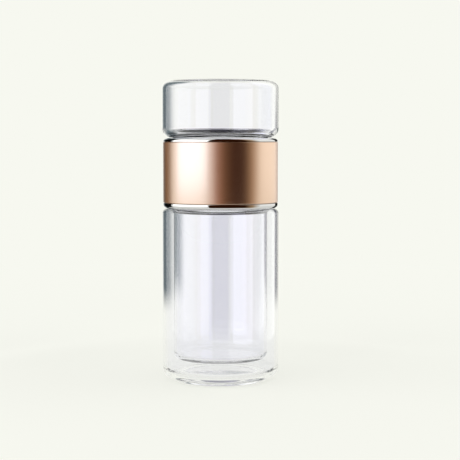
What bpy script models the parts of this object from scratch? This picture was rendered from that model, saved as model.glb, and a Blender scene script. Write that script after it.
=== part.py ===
"""Tea infuser bottle in three assemblies that screw together on one vertical axis.

A double-walled glass bottle stands at the bottom. A metal-clad collar with two threaded sockets screws
onto its neck and carries a lift-out steel filter. A single-walled glass tea chamber, closed at the top,
screws upside down into the collar. Z is up, the axis is X = Y = 0 and the foot stands on Z = 0.
"""

import math

import bmesh
import bpy
from mathutils import Matrix

MM = 0.001

# Driving dimensions
BODY_RADIUS = 32.5 * MM
BOTTLE_HEIGHT = 96.4 * MM
COLLAR_HEIGHT = 39.0 * MM
CHAMBER_HEIGHT = 31.5 * MM
OUTER_WALL = 1.9 * MM
LINER_WALL = 1.6 * MM
BOTTLE_AIR_GAP = 4.35 * MM
NECK_HEIGHT = 10.0 * MM
THREAD_PITCH = 4.0 * MM

# Clearances
FIT_GAP = 0.3 * MM
THREAD_CLEARANCE = 0.4 * MM
FLANK_GAP = 0.3 * MM

# Glass foot, base and corners of the bottle
FOOT_HEIGHT = 1.4 * MM
FOOT_INSET = 7.0 * MM
FOOT_LAND = 4.4 * MM
FOOT_FILLET = 0.5 * MM
RECESS_SLOPE = 1.2 * MM
BASE_THICKNESS = 3.2 * MM
BASE_CORNER = 5.5 * MM
BASE_INNER_CORNER = 4.2 * MM
SHOULDER_WALL = 1.3 * MM
SHOULDER_CORNER = 2.8 * MM
SHOULDER_INNER_CORNER = 1.5 * MM
LINER_LIFT = 7.4 * MM
LINER_FLOOR = 2.0 * MM
LINER_CORNER = 3.6 * MM
LINER_INNER_CORNER = 2.2 * MM

# Sealed vent in the middle of the bottle's base
VENT_RADIUS = 1.9 * MM
VENT_HEAD_OVERHANG = 1.3 * MM
VENT_HEAD_THICKNESS = 0.5 * MM
VENT_NUB = 0.6 * MM

# Corners of the tea chamber
CHAMBER_TOP_CORNER = 4.5 * MM
CHAMBER_FOOT_CORNER = 4.8 * MM
CHAMBER_FLOOR_CORNER = 3.6 * MM
CHAMBER_CROWN_CORNER = 2.6 * MM
CHAMBER_MOUTH_CORNER = 1.4 * MM

# Threads on the glass necks and in the sockets
THREAD_DEPTH = 1.1 * MM
THREAD_ROOT_WIDTH = 2.0 * MM
THREAD_CREST_WIDTH = 1.0 * MM
THREAD_SINK = 0.3 * MM
THREAD_TURNS = 1.2
THREAD_RUN_OUT_TURNS = 0.1
BOTTLE_THREAD_START = 2.4 * MM
CHAMBER_THREAD_START = 2.2 * MM
SOCKET_THREAD_START = 1.9 * MM

# Collar: metal sleeve, two polished trim rings and two moulded inserts
COLLAR_INSET = 0.4 * MM
SLEEVE_WALL = 0.8 * MM
SLEEVE_EDGE = 0.2 * MM
LOWER_TRIM_HEIGHT = 3.0 * MM
UPPER_TRIM_HEIGHT = 2.0 * MM
TRIM_CORNER = 1.9 * MM
TRIM_FLANGE = 0.8 * MM
TRIM_REACH = 2.9 * MM
INSERT_RECESS = 0.2 * MM
SOCKET_CHAMFER = 0.6 * MM
SEPTUM_THICKNESS = 2.0 * MM
SKIRT_WALL = 1.4 * MM
TONGUE_HEIGHT = 2.0 * MM
CHIMNEY_WALL = 1.4 * MM
PASSAGE_INSET = 2.95 * MM
FILTER_LEDGE = 1.1 * MM
LEDGE_DEPTH = 1.0 * MM

# Silicone seals
GASKET_THICKNESS = 1.1 * MM
GASKET_INSET = 1.35 * MM
CHAMBER_GASKET_LIP = 1.15 * MM
CHAMBER_GASKET_LIP_HEIGHT = 2.8 * MM
O_RING_SECTION_RADIUS = 0.9 * MM
O_RING_LIP_WALL = 1.0 * MM
O_RING_LIP_HEIGHT = 1.5 * MM
FILTER_SEAL_HEIGHT = 2.1 * MM
FILTER_SEAL_FIN = 0.55 * MM
FILTER_SEAL_FIN_HEIGHT = 0.5 * MM

# Steel filter: a drawn cup with a perforated screen on its bottom lip
FILTER_DEPTH = 11.6 * MM
FILTER_SHEET = 0.5 * MM
FILTER_FLANGE = 3.0 * MM
FILTER_LIP = 1.6 * MM
SCREEN_THICKNESS = 0.4 * MM
SCREEN_HOLE_RADIUS = 1.1 * MM
SCREEN_HOLE_PITCH = 3.8 * MM
SCREEN_HOLE_RINGS = 4
CUT_OVERRUN = 0.5 * MM

# Facets
SIDES = 36
SCREEN_HOLE_SIDES = 6
O_RING_SIDES = 8
CORNER_STEPS = 3
SMALL_CORNER_STEPS = 2
SHARP_ANGLE = math.radians(35)
WELD = 0.001 * MM

# Radii that follow from the driving dimensions
NECK_RADIUS = BODY_RADIUS - OUTER_WALL - BOTTLE_AIR_GAP
MOUTH_RADIUS = NECK_RADIUS - LINER_WALL
THREAD_CREST_RADIUS = NECK_RADIUS + THREAD_DEPTH
SOCKET_RADIUS = THREAD_CREST_RADIUS + THREAD_CLEARANCE
SOCKET_CREST_RADIUS = NECK_RADIUS + THREAD_CLEARANCE
FUSED_EDGE_RADIUS = NECK_RADIUS + FIT_GAP
COLLAR_RADIUS = BODY_RADIUS - COLLAR_INSET
SLEEVE_BORE = COLLAR_RADIUS - SLEEVE_WALL
INSERT_RADIUS = SLEEVE_BORE - FIT_GAP
TRIM_BORE = COLLAR_RADIUS - TRIM_REACH
PASSAGE_RADIUS = MOUTH_RADIUS - PASSAGE_INSET
CHIMNEY_RADIUS = PASSAGE_RADIUS + CHIMNEY_WALL
LEDGE_RADIUS = PASSAGE_RADIUS + FILTER_LEDGE
FILTER_FLANGE_RADIUS = LEDGE_RADIUS - FIT_GAP
FILTER_CUP_RADIUS = FILTER_FLANGE_RADIUS - FILTER_FLANGE

# Heights above each assembly's own datum
RIM_HEIGHT = BOTTLE_HEIGHT + NECK_HEIGHT
GASKET_SEAT = NECK_HEIGHT - FIT_GAP
SOCKET_DEPTH = GASKET_SEAT + FIT_GAP + GASKET_THICKNESS + FIT_GAP
LOWER_SEPTUM_TOP = SOCKET_DEPTH + SEPTUM_THICKNESS
UPPER_SEPTUM_TOP = COLLAR_HEIGHT - SOCKET_DEPTH
UPPER_SEPTUM_UNDERSIDE = UPPER_SEPTUM_TOP - SEPTUM_THICKNESS
LEDGE_HEIGHT = UPPER_SEPTUM_TOP - LEDGE_DEPTH
SPLIT_HEIGHT = COLLAR_HEIGHT / 2
INSERT_SPLIT_GAP = FIT_GAP / 2

# Datums of the assemblies, on the common axis
COLLAR_DATUM = BOTTLE_HEIGHT + FIT_GAP
FILTER_DATUM = COLLAR_DATUM + LEDGE_HEIGHT + FIT_GAP
CHAMBER_DATUM = COLLAR_DATUM + COLLAR_HEIGHT + FIT_GAP

# How far a ridge's middle lies from the middle of the ridge that it bears on, their flanks parallel
FLANK_SLOPE = (THREAD_ROOT_WIDTH - THREAD_CREST_WIDTH) / 2 / (THREAD_DEPTH + THREAD_SINK)
RIDGE_SPAN = SOCKET_RADIUS - NECK_RADIUS + 2 * THREAD_SINK
FLANK_OFFSET = THREAD_ROOT_WIDTH - FLANK_SLOPE * RIDGE_SPAN + FLANK_GAP


def clear_scene():
    for obj in list(bpy.data.objects):
        bpy.data.objects.remove(obj)


def finish(name, colour, roughness, metallic=0.0, transmission=0.0):
    """A plain Principled material."""
    made = bpy.data.materials.new(name)
    made.use_nodes = True
    shader = made.node_tree.nodes["Principled BSDF"]
    shader.inputs["Base Color"].default_value = (*colour, 1.0)
    shader.inputs["Roughness"].default_value = roughness
    shader.inputs["Metallic"].default_value = metallic
    shader.inputs["Transmission Weight"].default_value = transmission
    return made


def assembly(name, height):
    """An empty on the axis that carries the pieces of one assembly."""
    empty = bpy.data.objects.new(name, None)
    empty.location = (0, 0, height)
    bpy.context.scene.collection.objects.link(empty)
    return empty


def place(name, bm, carrier, surface=None):
    """Turns a bmesh into an object of one assembly, smooth on its round faces."""
    bmesh.ops.recalc_face_normals(bm, faces=bm.faces)
    mesh = bpy.data.meshes.new(name)
    bm.to_mesh(mesh)
    bm.free()
    mesh.shade_smooth()
    mesh.set_sharp_from_angle(angle=SHARP_ANGLE)
    if surface:
        mesh.materials.append(surface)
    obj = bpy.data.objects.new(name, mesh)
    obj.parent = carrier
    bpy.context.scene.collection.objects.link(obj)
    return obj


def arc(centre_radius, centre_height, radius, start, end, steps=CORNER_STEPS):
    """Points of a round corner in a profile, from the start angle to the end angle, in degrees."""
    points = []
    for step in range(steps + 1):
        angle = math.radians(start + (end - start) * step / steps)
        points.append((centre_radius + radius * math.cos(angle), centre_height + radius * math.sin(angle)))
    return points


def turned(name, profile, carrier, surface, closed=True, sides=SIDES):
    """A profile of (radius, height) points spun about the axis. An open one starts and ends on the axis."""
    bm = bmesh.new()
    points = [bm.verts.new((radius, 0, height)) for radius, height in profile]
    edges = [bm.edges.new(pair) for pair in zip(points, points[1:])]
    if closed:
        edges.append(bm.edges.new((points[-1], points[0])))
    bmesh.ops.spin(
        bm,
        geom=points + edges,
        cent=(0, 0, 0),
        axis=(0, 0, 1),
        angle=math.tau,
        steps=sides,
        use_merge=True,
    )
    bmesh.ops.remove_doubles(bm, verts=bm.verts, dist=WELD)
    return place(name, bm, carrier, surface)


def helper(name, bm, carrier):
    """A body that only shapes another piece, so it is never shown."""
    obj = place(name, bm, carrier)
    obj.hide_render = True
    obj.display_type = "WIRE"
    return obj


def shape_with(obj, other, operation):
    cut = obj.modifiers.new(other.name, "BOOLEAN")
    cut.operation = operation
    cut.solver = "EXACT"
    cut.object = other


def thread_ridge(name, wall_radius, crest_radius, helix_height, first_turn, last_turn, carrier):
    """A right-hand ridge that runs out into its wall at both ends. helix_height is its middle at turn 0."""
    side = 1 if crest_radius > wall_radius else -1
    sunk_radius = wall_radius - side * THREAD_SINK
    stations = round((last_turn - first_turn) * SIDES)
    bm = bmesh.new()
    sections = []
    for station in range(stations + 1):
        turn = first_turn + (station + 0.5) / SIDES
        from_end = min(station, stations - station) / SIDES
        growth = min(1.0, from_end / THREAD_RUN_OUT_TURNS)
        crest = sunk_radius + side * THREAD_SINK / 2
        crest += (crest_radius - crest) * growth
        outline = (
            (sunk_radius, -THREAD_ROOT_WIDTH / 2),
            (crest, -THREAD_CREST_WIDTH / 2),
            (crest, THREAD_CREST_WIDTH / 2),
            (sunk_radius, THREAD_ROOT_WIDTH / 2),
        )
        middle = helix_height + THREAD_PITCH * turn
        angle = math.tau * turn
        ray = (math.cos(angle), math.sin(angle))
        sections.append([bm.verts.new((r * ray[0], r * ray[1], middle + z)) for r, z in outline])
    for near, far in zip(sections, sections[1:]):
        for here in range(len(near)):
            there = (here + 1) % len(near)
            bm.faces.new((near[here], near[there], far[there], far[here]))
    bm.faces.new(sections[0])
    bm.faces.new(sections[-1][::-1])
    bmesh.ops.triangulate(bm, faces=bm.faces)
    return helper(name, bm, carrier)


def turns_at(height, helix_height):
    """How many turns a helix of this thread has made at a height, to the nearest facet."""
    return round((height - helix_height) / THREAD_PITCH * SIDES) / SIDES


def bottle_outer_wall(carrier, glass):
    """Outer shell of the bottle, with its stepped foot, dished underside and open vent."""
    inner_radius = BODY_RADIUS - OUTER_WALL
    base_top = FOOT_HEIGHT + BASE_THICKNESS
    foot_radius = BODY_RADIUS - FOOT_INSET
    recess_radius = foot_radius - FOOT_LAND
    profile = [(FUSED_EDGE_RADIUS, BOTTLE_HEIGHT)]
    profile += arc(BODY_RADIUS - SHOULDER_CORNER, BOTTLE_HEIGHT - SHOULDER_CORNER, SHOULDER_CORNER, 90, 0)
    profile += arc(BODY_RADIUS - BASE_CORNER, FOOT_HEIGHT + BASE_CORNER, BASE_CORNER, 0, -90)
    profile += [(foot_radius, FOOT_HEIGHT)]
    profile += arc(foot_radius - FOOT_FILLET, FOOT_FILLET, FOOT_FILLET, 0, -90, SMALL_CORNER_STEPS)
    profile += [(recess_radius, 0), (recess_radius - RECESS_SLOPE, FOOT_HEIGHT), (VENT_RADIUS, FOOT_HEIGHT)]
    profile += [(VENT_RADIUS, base_top)]
    profile += arc(
        inner_radius - BASE_INNER_CORNER, base_top + BASE_INNER_CORNER, BASE_INNER_CORNER, -90, 0
    )
    profile += arc(
        inner_radius - SHOULDER_INNER_CORNER,
        BOTTLE_HEIGHT - SHOULDER_WALL - SHOULDER_INNER_CORNER,
        SHOULDER_INNER_CORNER,
        0,
        90,
        SMALL_CORNER_STEPS,
    )
    profile += [(FUSED_EDGE_RADIUS, BOTTLE_HEIGHT - SHOULDER_WALL)]
    turned("bottle_outer_wall", profile, carrier, glass)


def bottle_inner_wall(carrier, glass):
    """Inner tube that holds the tea. Above the shoulder it is the bottle's threaded neck."""
    underside = FOOT_HEIGHT + BASE_THICKNESS + LINER_LIFT
    floor = underside + LINER_FLOOR
    profile = [(0, floor)]
    profile += arc(
        MOUTH_RADIUS - LINER_INNER_CORNER, floor + LINER_INNER_CORNER, LINER_INNER_CORNER, -90, 0,
        SMALL_CORNER_STEPS,
    )
    profile += arc(NECK_RADIUS - LINER_WALL / 2, RIM_HEIGHT - LINER_WALL / 2, LINER_WALL / 2, 180, 0)
    profile += arc(NECK_RADIUS - LINER_CORNER, underside + LINER_CORNER, LINER_CORNER, 0, -90)
    profile += [(0, underside)]
    wall = turned("bottle_inner_wall", profile, carrier, glass, closed=False)
    ridge = thread_ridge(
        "bottle_neck_ridge", NECK_RADIUS, THREAD_CREST_RADIUS, BOTTLE_HEIGHT + BOTTLE_THREAD_START,
        0, THREAD_TURNS, carrier,
    )
    shape_with(wall, ridge, "UNION")


def bottle_vent_seal(carrier, glass):
    """Glass tip that closes the vent once the space between the walls has been dried out."""
    stem_radius = VENT_RADIUS - FIT_GAP
    head_radius = VENT_RADIUS + VENT_HEAD_OVERHANG
    head_top = FOOT_HEIGHT - FIT_GAP
    stem_top = FOOT_HEIGHT + BASE_THICKNESS + VENT_NUB
    profile = [
        (0, stem_top),
        (stem_radius, stem_top - VENT_NUB),
        (stem_radius, head_top),
        (head_radius, head_top),
        (head_radius, head_top - VENT_HEAD_THICKNESS / 2),
        (0, head_top - VENT_HEAD_THICKNESS),
    ]
    turned("bottle_vent_seal", profile, carrier, glass, closed=False, sides=SIDES // 2)


def collar_sleeve(carrier, metal):
    """Tube of satin metal between the two trim rings."""
    bottom = LOWER_TRIM_HEIGHT + FIT_GAP / 2
    top = COLLAR_HEIGHT - UPPER_TRIM_HEIGHT - FIT_GAP / 2
    profile = [
        (SLEEVE_BORE, top),
        (COLLAR_RADIUS - SLEEVE_EDGE, top),
        (COLLAR_RADIUS, top - SLEEVE_EDGE),
        (COLLAR_RADIUS, bottom + SLEEVE_EDGE),
        (COLLAR_RADIUS - SLEEVE_EDGE, bottom),
        (SLEEVE_BORE, bottom),
    ]
    turned("collar_sleeve", profile, carrier, metal)


def trim_ring(name, ring_height, flipped, carrier, metal):
    """Polished ring that wraps one end of the collar, with a rounded outer corner."""
    profile = [(SLEEVE_BORE, ring_height), (COLLAR_RADIUS, ring_height)]
    profile += arc(COLLAR_RADIUS - TRIM_CORNER, TRIM_CORNER, TRIM_CORNER, 0, -90)
    profile += [(TRIM_BORE, 0), (TRIM_BORE, TRIM_FLANGE), (SLEEVE_BORE, TRIM_FLANGE)]
    if flipped:
        profile = [(radius, COLLAR_HEIGHT - height) for radius, height in profile]
    turned(name, profile, carrier, metal)


def o_ring_centre_radius():
    return CHIMNEY_RADIUS + FIT_GAP + O_RING_SECTION_RADIUS


def lower_thread_insert(carrier, plastic):
    """Moulded socket for the bottle's neck. Its septum stops the gasket and seats the O-ring."""
    tongue_radius = INSERT_RADIUS - SKIRT_WALL - FIT_GAP
    tongue_bore = tongue_radius - SKIRT_WALL
    end_radius = TRIM_BORE - FIT_GAP
    split = SPLIT_HEIGHT - INSERT_SPLIT_GAP
    lip_bore = o_ring_centre_radius() + O_RING_SECTION_RADIUS + FIT_GAP
    lip_radius = lip_bore + O_RING_LIP_WALL
    lip_top = LOWER_SEPTUM_TOP + O_RING_LIP_HEIGHT
    profile = [
        (tongue_radius, split + TONGUE_HEIGHT),
        (tongue_radius, split),
        (INSERT_RADIUS, split),
        (INSERT_RADIUS, TRIM_FLANGE + FIT_GAP),
        (end_radius, TRIM_FLANGE + FIT_GAP),
        (end_radius, INSERT_RECESS),
        (SOCKET_RADIUS + SOCKET_CHAMFER, INSERT_RECESS),
        (SOCKET_RADIUS, INSERT_RECESS + SOCKET_CHAMFER),
        (SOCKET_RADIUS, SOCKET_DEPTH),
        (PASSAGE_RADIUS, SOCKET_DEPTH),
        (PASSAGE_RADIUS, LOWER_SEPTUM_TOP),
        (lip_bore, LOWER_SEPTUM_TOP),
        (lip_bore, lip_top),
        (lip_radius, lip_top),
        (lip_radius, LOWER_SEPTUM_TOP),
        (tongue_bore, LOWER_SEPTUM_TOP),
        (tongue_bore, split + TONGUE_HEIGHT),
    ]
    insert = turned("lower_thread_insert", profile, carrier, plastic)
    helix = BOTTLE_THREAD_START - FIT_GAP - FLANK_OFFSET
    first = turns_at(SOCKET_THREAD_START, helix)
    ridge = thread_ridge(
        "lower_socket_ridge", SOCKET_RADIUS, SOCKET_CREST_RADIUS, helix, first, first + THREAD_TURNS, carrier
    )
    shape_with(insert, ridge, "UNION")


def upper_thread_insert(carrier, plastic):
    """Moulded socket for the chamber's neck. Its septum holds the filter, its chimney guides the tea."""
    skirt_bore = INSERT_RADIUS - SKIRT_WALL
    end_radius = TRIM_BORE - FIT_GAP
    end_height = COLLAR_HEIGHT - INSERT_RECESS
    flange_stop = COLLAR_HEIGHT - TRIM_FLANGE - FIT_GAP
    split = SPLIT_HEIGHT + INSERT_SPLIT_GAP
    profile = [
        (end_radius, end_height),
        (end_radius, flange_stop),
        (INSERT_RADIUS, flange_stop),
        (INSERT_RADIUS, split),
        (skirt_bore, split),
        (skirt_bore, UPPER_SEPTUM_UNDERSIDE),
        (CHIMNEY_RADIUS, UPPER_SEPTUM_UNDERSIDE),
        (CHIMNEY_RADIUS, LOWER_SEPTUM_TOP + FIT_GAP),
        (PASSAGE_RADIUS, LOWER_SEPTUM_TOP + FIT_GAP),
        (PASSAGE_RADIUS, LEDGE_HEIGHT),
        (LEDGE_RADIUS, LEDGE_HEIGHT),
        (LEDGE_RADIUS, UPPER_SEPTUM_TOP),
        (SOCKET_RADIUS, UPPER_SEPTUM_TOP),
        (SOCKET_RADIUS, end_height - SOCKET_CHAMFER),
        (SOCKET_RADIUS + SOCKET_CHAMFER, end_height),
    ]
    insert = turned("upper_thread_insert", profile, carrier, plastic)
    helix = COLLAR_HEIGHT + FIT_GAP - NECK_HEIGHT + CHAMBER_THREAD_START + FLANK_OFFSET
    last = turns_at(end_height - SOCKET_THREAD_START, helix)
    ridge = thread_ridge(
        "upper_socket_ridge", SOCKET_RADIUS, SOCKET_CREST_RADIUS, helix, last - THREAD_TURNS, last, carrier
    )
    shape_with(insert, ridge, "UNION")


def insert_o_ring(carrier, silicone):
    """Seal between the two inserts, round the foot of the chimney."""
    centre = LOWER_SEPTUM_TOP + FIT_GAP + O_RING_SECTION_RADIUS
    profile = arc(o_ring_centre_radius(), centre, O_RING_SECTION_RADIUS, 180, -180, O_RING_SIDES)[:-1]
    turned("insert_o_ring", profile, carrier, silicone)


def bottle_gasket(carrier, silicone):
    """Flat washer at the end of the lower socket, pressed on the bottle's rim."""
    bottom = GASKET_SEAT + FIT_GAP
    top = bottom + GASKET_THICKNESS
    inner = MOUTH_RADIUS - GASKET_INSET
    outer = SOCKET_RADIUS - FIT_GAP
    profile = [(inner, top), (outer, top), (outer, bottom), (inner, bottom)]
    turned("bottle_gasket", profile, carrier, silicone)


def chamber_gasket(carrier, silicone):
    """L-shaped seal whose lip plugs into the chamber's mouth, so that it stays on the glass."""
    rim = -NECK_HEIGHT
    top = rim - FIT_GAP
    bottom = top - GASKET_THICKNESS
    lip_radius = MOUTH_RADIUS - FIT_GAP
    inner = lip_radius - CHAMBER_GASKET_LIP
    profile = [
        (inner, rim + CHAMBER_GASKET_LIP_HEIGHT),
        (lip_radius, rim + CHAMBER_GASKET_LIP_HEIGHT),
        (lip_radius, top),
        (NECK_RADIUS, top),
        (NECK_RADIUS, bottom),
        (inner, bottom),
    ]
    turned("chamber_gasket", profile, carrier, silicone)


def filter_cup(carrier, steel):
    """Drawn steel cup with a flange that rests on the septum's ledge and a lip under the screen."""
    bore = FILTER_CUP_RADIUS - FILTER_SHEET
    bottom = FILTER_SHEET - FILTER_DEPTH
    profile = [
        (FILTER_FLANGE_RADIUS, FILTER_SHEET),
        (FILTER_FLANGE_RADIUS, 0),
        (FILTER_CUP_RADIUS, 0),
        (FILTER_CUP_RADIUS, bottom),
        (bore - FILTER_LIP, bottom),
        (bore - FILTER_LIP, bottom + FILTER_SHEET),
        (bore, bottom + FILTER_SHEET),
        (bore, FILTER_SHEET),
    ]
    turned("filter_cup", profile, carrier, steel)


def hexagon_of_places(rings, pitch):
    """Centres of a hexagonal pattern: one in the middle and six more in each further ring."""
    places = []
    for row in range(-rings, rings + 1):
        for column in range(-rings, rings + 1):
            if abs(row + column) <= rings:
                places.append((pitch * (column + row / 2), pitch * row * math.sqrt(3) / 2))
    return places


def filter_screen(carrier, steel):
    """Perforated disc that keeps the leaves in the tea chamber."""
    radius = FILTER_CUP_RADIUS - FILTER_SHEET - FIT_GAP
    bottom = FILTER_SHEET - FILTER_DEPTH + FILTER_SHEET + FIT_GAP
    top = bottom + SCREEN_THICKNESS
    profile = [(0, top), (radius, top), (radius, bottom), (0, bottom)]
    disc = turned("filter_screen", profile, carrier, steel, closed=False)
    bm = bmesh.new()
    for x, y in hexagon_of_places(SCREEN_HOLE_RINGS, SCREEN_HOLE_PITCH):
        bmesh.ops.create_cone(
            bm,
            cap_ends=True,
            segments=SCREEN_HOLE_SIDES,
            radius1=SCREEN_HOLE_RADIUS,
            radius2=SCREEN_HOLE_RADIUS,
            depth=SCREEN_THICKNESS + 2 * CUT_OVERRUN,
            matrix=Matrix.Translation((x, y, (top + bottom) / 2)),
        )
    shape_with(disc, helper("screen_holes", bm, carrier), "DIFFERENCE")


def filter_seal(carrier, silicone):
    """Finned ring round the cup, under its flange, that plugs the septum's bore."""
    inner = FILTER_CUP_RADIUS + FIT_GAP
    fin = PASSAGE_RADIUS - FIT_GAP
    waist = fin - FILTER_SEAL_FIN
    top = -FIT_GAP
    bottom = top - FILTER_SEAL_HEIGHT
    profile = [
        (inner, top),
        (fin, top),
        (fin, top - FILTER_SEAL_FIN_HEIGHT),
        (waist, top - FILTER_SEAL_FIN_HEIGHT),
        (waist, bottom + FILTER_SEAL_FIN_HEIGHT),
        (fin, bottom + FILTER_SEAL_FIN_HEIGHT),
        (fin, bottom),
        (inner, bottom),
    ]
    turned("filter_seal", profile, carrier, silicone)


def tea_chamber_glass(carrier, glass):
    """Blown glass cup, closed at the crown and rolled in to the threaded neck that points down."""
    inner_radius = BODY_RADIUS - OUTER_WALL
    profile = [(0, CHAMBER_HEIGHT)]
    profile += arc(
        BODY_RADIUS - CHAMBER_TOP_CORNER, CHAMBER_HEIGHT - CHAMBER_TOP_CORNER, CHAMBER_TOP_CORNER, 90, 0
    )
    profile += arc(BODY_RADIUS - CHAMBER_FOOT_CORNER, CHAMBER_FOOT_CORNER, CHAMBER_FOOT_CORNER, 0, -90)
    profile += [(NECK_RADIUS, 0)]
    profile += arc(NECK_RADIUS - LINER_WALL / 2, LINER_WALL / 2 - NECK_HEIGHT, LINER_WALL / 2, 0, -180)
    profile += arc(
        MOUTH_RADIUS + CHAMBER_MOUTH_CORNER, OUTER_WALL - CHAMBER_MOUTH_CORNER, CHAMBER_MOUTH_CORNER, 180, 90,
        SMALL_CORNER_STEPS,
    )
    profile += arc(
        inner_radius - CHAMBER_FLOOR_CORNER, OUTER_WALL + CHAMBER_FLOOR_CORNER, CHAMBER_FLOOR_CORNER, -90, 0
    )
    profile += arc(
        inner_radius - CHAMBER_CROWN_CORNER,
        CHAMBER_HEIGHT - OUTER_WALL - CHAMBER_CROWN_CORNER,
        CHAMBER_CROWN_CORNER,
        0,
        90,
    )
    profile += [(0, CHAMBER_HEIGHT - OUTER_WALL)]
    cup = turned("tea_chamber_glass", profile, carrier, glass, closed=False)
    ridge = thread_ridge(
        "chamber_neck_ridge", NECK_RADIUS, THREAD_CREST_RADIUS, CHAMBER_THREAD_START - NECK_HEIGHT,
        0, THREAD_TURNS, carrier,
    )
    shape_with(cup, ridge, "UNION")


def build_bottle():
    glass = finish("borosilicate_glass", (0.93, 0.95, 0.97), 0.02, transmission=1.0)
    bottle = assembly("bottle", 0)
    bottle_outer_wall(bottle, glass)
    bottle_inner_wall(bottle, glass)
    bottle_vent_seal(bottle, glass)
    return glass


def build_collar():
    anodised = finish("rose_gold_anodised_aluminium", (0.80, 0.54, 0.38), 0.32, metallic=1.0)
    polished = finish("polished_steel", (0.78, 0.78, 0.79), 0.06, metallic=1.0)
    plastic = finish("moulded_polypropylene", (0.05, 0.05, 0.05), 0.42)
    silicone = finish("black_silicone", (0.04, 0.04, 0.04), 0.5)
    collar = assembly("collar", COLLAR_DATUM)
    collar_sleeve(collar, anodised)
    trim_ring("lower_trim_ring", LOWER_TRIM_HEIGHT, False, collar, polished)
    trim_ring("upper_trim_ring", UPPER_TRIM_HEIGHT, True, collar, polished)
    lower_thread_insert(collar, plastic)
    upper_thread_insert(collar, plastic)
    insert_o_ring(collar, silicone)
    bottle_gasket(collar, silicone)
    return silicone


def build_filter(silicone):
    steel = finish("stainless_steel", (0.66, 0.66, 0.67), 0.25, metallic=1.0)
    strainer = assembly("filter", FILTER_DATUM)
    filter_cup(strainer, steel)
    filter_screen(strainer, steel)
    filter_seal(strainer, silicone)


def build_chamber(glass, silicone):
    chamber = assembly("tea_chamber", CHAMBER_DATUM)
    tea_chamber_glass(chamber, glass)
    chamber_gasket(chamber, silicone)


def main():
    clear_scene()
    glass = build_bottle()
    silicone = build_collar()
    build_filter(silicone)
    build_chamber(glass, silicone)


main()
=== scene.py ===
"""Looks of the tea infuser bottle: smooth glass, metal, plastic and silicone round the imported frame."""

import math

import bpy
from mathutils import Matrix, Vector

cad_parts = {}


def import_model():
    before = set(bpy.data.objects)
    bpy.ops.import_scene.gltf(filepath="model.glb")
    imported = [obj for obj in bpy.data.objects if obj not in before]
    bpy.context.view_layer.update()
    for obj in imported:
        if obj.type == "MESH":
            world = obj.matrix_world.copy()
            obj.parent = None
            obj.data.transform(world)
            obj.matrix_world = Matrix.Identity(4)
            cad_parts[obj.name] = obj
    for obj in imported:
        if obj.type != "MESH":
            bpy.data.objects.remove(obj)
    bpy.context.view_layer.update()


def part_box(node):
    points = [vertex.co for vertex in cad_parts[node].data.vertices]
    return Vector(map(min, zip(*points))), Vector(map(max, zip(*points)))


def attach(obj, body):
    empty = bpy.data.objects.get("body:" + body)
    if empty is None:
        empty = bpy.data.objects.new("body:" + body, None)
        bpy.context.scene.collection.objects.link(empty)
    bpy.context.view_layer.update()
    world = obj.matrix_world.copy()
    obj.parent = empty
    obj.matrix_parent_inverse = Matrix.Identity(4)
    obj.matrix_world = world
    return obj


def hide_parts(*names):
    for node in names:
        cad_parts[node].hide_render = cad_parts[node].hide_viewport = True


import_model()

MM = 0.001

# The photograph's view: the lens and the eye, in pixels of its 460 px frame
FRAME_WIDTH_PX = 460
FRAME_MIDDLE_PX = 230
FOCAL_LENGTH_PX = 1364
EYE_LEVEL_PX = 137.5
AXIS_COLUMN_PX = 220.5
CAMERA_DISTANCE = 765 * MM
EYE_HEIGHT = 136 * MM
SENSOR_WIDTH_MM = 36

# Facets
TURN_STEPS = 192
SCREEN_HOLE_SIDES = 12
CORNER_STEPS = 8
SMALL_CORNER_STEPS = 5
O_RING_STEPS = 24
SMOOTH_ANGLE = math.radians(32)
WELD = 0.0005 * MM

# Glass walls, foot and corners
OUTER_WALL = 1.9 * MM
LINER_WALL = 1.6 * MM
FOOT_HEIGHT = 1.4 * MM
FOOT_INSET = 7.0 * MM
FOOT_LAND = 4.4 * MM
FOOT_FILLET = 0.5 * MM
RECESS_SLOPE = 1.2 * MM
BASE_THICKNESS = 3.2 * MM
BASE_CORNER = 5.5 * MM
BASE_INNER_CORNER = 4.2 * MM
SHOULDER_WALL = 1.3 * MM
SHOULDER_CORNER = 2.8 * MM
SHOULDER_INNER_CORNER = 1.5 * MM
NECK_FILLET = 0.8 * MM
CAVITY_FILLET = 1.3 * MM
LINER_FLOOR = 2.0 * MM
LINER_CORNER = 3.6 * MM
LINER_INNER_CORNER = 2.2 * MM
SEAL_TIP_RADIUS = 3.0 * MM
SEAL_TIP_DROP = 0.9 * MM
SEAL_BEAD_RADIUS = 2.2 * MM
SEAL_BEAD_RISE = 0.5 * MM
CHAMBER_TOP_CORNER = 4.5 * MM
CHAMBER_FOOT_CORNER = 4.8 * MM
CHAMBER_FLOOR_CORNER = 3.6 * MM
CHAMBER_CROWN_CORNER = 2.6 * MM
CHAMBER_MOUTH_CORNER = 1.4 * MM

# Threads
THREAD_PITCH = 4.0 * MM
THREAD_DEPTH = 1.1 * MM
THREAD_ROOT_WIDTH = 2.0 * MM
THREAD_CREST_WIDTH = 1.0 * MM
THREAD_SINK = 0.3 * MM
THREAD_TURNS = 1.2
THREAD_RUN_OUT_TURNS = 0.1
THREAD_CLEARANCE = 0.4 * MM
FLANK_GAP = 0.3 * MM
BOTTLE_THREAD_START = 2.4 * MM
CHAMBER_THREAD_START = 2.2 * MM
SOCKET_THREAD_START = 1.9 * MM

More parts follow.
